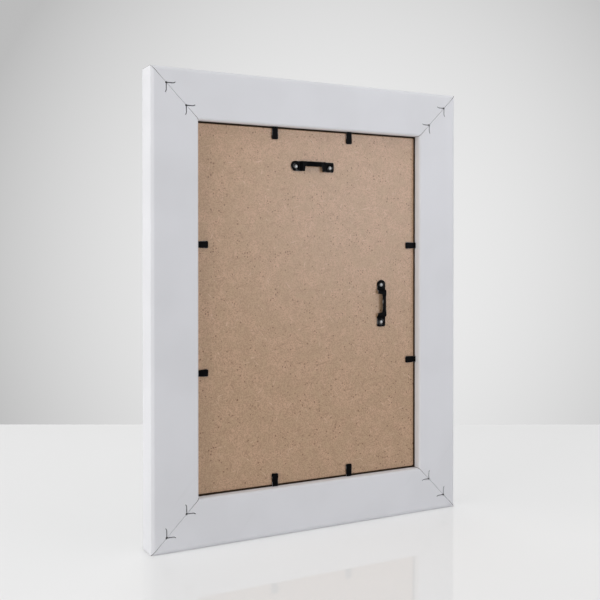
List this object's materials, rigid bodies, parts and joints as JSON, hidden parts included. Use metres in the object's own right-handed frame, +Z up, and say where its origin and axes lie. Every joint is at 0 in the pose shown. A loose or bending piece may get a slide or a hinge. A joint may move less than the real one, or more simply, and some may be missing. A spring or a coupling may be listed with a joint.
{
  "type": "picture frame",
  "caption": "Mitred white plastic picture frame with glazing, blank card, hardboard back, bendable retaining points and bridge hangers for portrait or landscape hanging.",
  "frame": {"origin": "middle of the bottom edge that the frame stands on, half way through its depth", "axes": "+Z up along the portrait height, +X to the right as seen from the glazed front, +Y from the glazed front to the back"},
  "size_m": [0.292, 0.022, 0.379],
  "materials": {
    "white_plastic": "satin white moulded plastic",
    "nail_steel": "dull bare steel",
    "black_steel": "black coated sheet steel",
    "bright_steel": "bright plated steel",
    "hardboard": "raw brown hardboard with fine fibre speckle",
    "blank_card": "blank off-white card",
    "clear_glass": "clear float glass"
  },
  "bodies": {
    "frame": {"rail_left": "white_plastic", "rail_top": "white_plastic", "rail_right": "white_plastic", "rail_bottom": "white_plastic", "corner_nail_bottom_left_outer": "nail_steel", "corner_nail_bottom_left_inner": "nail_steel", "corner_nail_top_left_outer": "nail_steel", "corner_nail_top_left_inner": "nail_steel", "corner_nail_top_right_outer": "nail_steel", "corner_nail_top_right_inner": "nail_steel", "corner_nail_bottom_right_outer": "nail_steel", "corner_nail_bottom_right_inner": "nail_steel", "shank_left_lower": "black_steel", "shank_left_upper": "black_steel", "shank_top_left": "black_steel", "shank_top_right": "black_steel", "shank_right_upper": "black_steel", "shank_right_lower": "black_steel", "shank_bottom_right": "black_steel", "shank_bottom_left": "black_steel", "glazing": "clear_glass", "picture_card": "blank_card", "backing_board": "hardboard", "hanger_portrait": "black_steel", "hanger_landscape": "black_steel", "rivet_portrait_square": "bright_steel", "rivet_portrait_round": "bright_steel", "rivet_landscape_square": "bright_steel", "rivet_landscape_round": "bright_steel"},
    "tab_left_lower": {"tab_left_lower": "black_steel"},
    "tab_left_upper": {"tab_left_upper": "black_steel"},
    "tab_top_left": {"tab_top_left": "black_steel"},
    "tab_top_right": {"tab_top_right": "black_steel"},
    "tab_right_upper": {"tab_right_upper": "black_steel"},
    "tab_right_lower": {"tab_right_lower": "black_steel"},
    "tab_bottom_right": {"tab_bottom_right": "black_steel"},
    "tab_bottom_left": {"tab_bottom_left": "black_steel"}
  },
  "joints": [
    {"name": "bend_left_lower", "type": "hinge", "parent": "frame", "child": "tab_left_lower", "pos_m": [-0.1059, 0.00436, 0.138], "axis": [0, 0, 1], "range_deg": [0, 90]},
    {"name": "bend_left_upper", "type": "hinge", "parent": "frame", "child": "tab_left_upper", "pos_m": [-0.1059, 0.00436, 0.241], "axis": [0, 0, 1], "range_deg": [0, 90]},
    {"name": "bend_top_left", "type": "hinge", "parent": "frame", "child": "tab_top_left", "pos_m": [-0.036, 0.00436, 0.3389], "axis": [1, 0, 0], "range_deg": [0, 90]},
    {"name": "bend_top_right", "type": "hinge", "parent": "frame", "child": "tab_top_right", "pos_m": [0.036, 0.00436, 0.3389], "axis": [1, 0, 0], "range_deg": [0, 90]},
    {"name": "bend_right_upper", "type": "hinge", "parent": "frame", "child": "tab_right_upper", "pos_m": [0.1059, 0.00436, 0.241], "axis": [0, 0, -1], "range_deg": [0, 90]},
    {"name": "bend_right_lower", "type": "hinge", "parent": "frame", "child": "tab_right_lower", "pos_m": [0.1059, 0.00436, 0.138], "axis": [0, 0, -1], "range_deg": [0, 90]},
    {"name": "bend_bottom_right", "type": "hinge", "parent": "frame", "child": "tab_bottom_right", "pos_m": [0.036, 0.00436, 0.0401], "axis": [-1, 0, 0], "range_deg": [0, 90]},
    {"name": "bend_bottom_left", "type": "hinge", "parent": "frame", "child": "tab_bottom_left", "pos_m": [-0.036, 0.00436, 0.0401], "axis": [-1, 0, 0], "range_deg": [0, 90]}
  ]
}
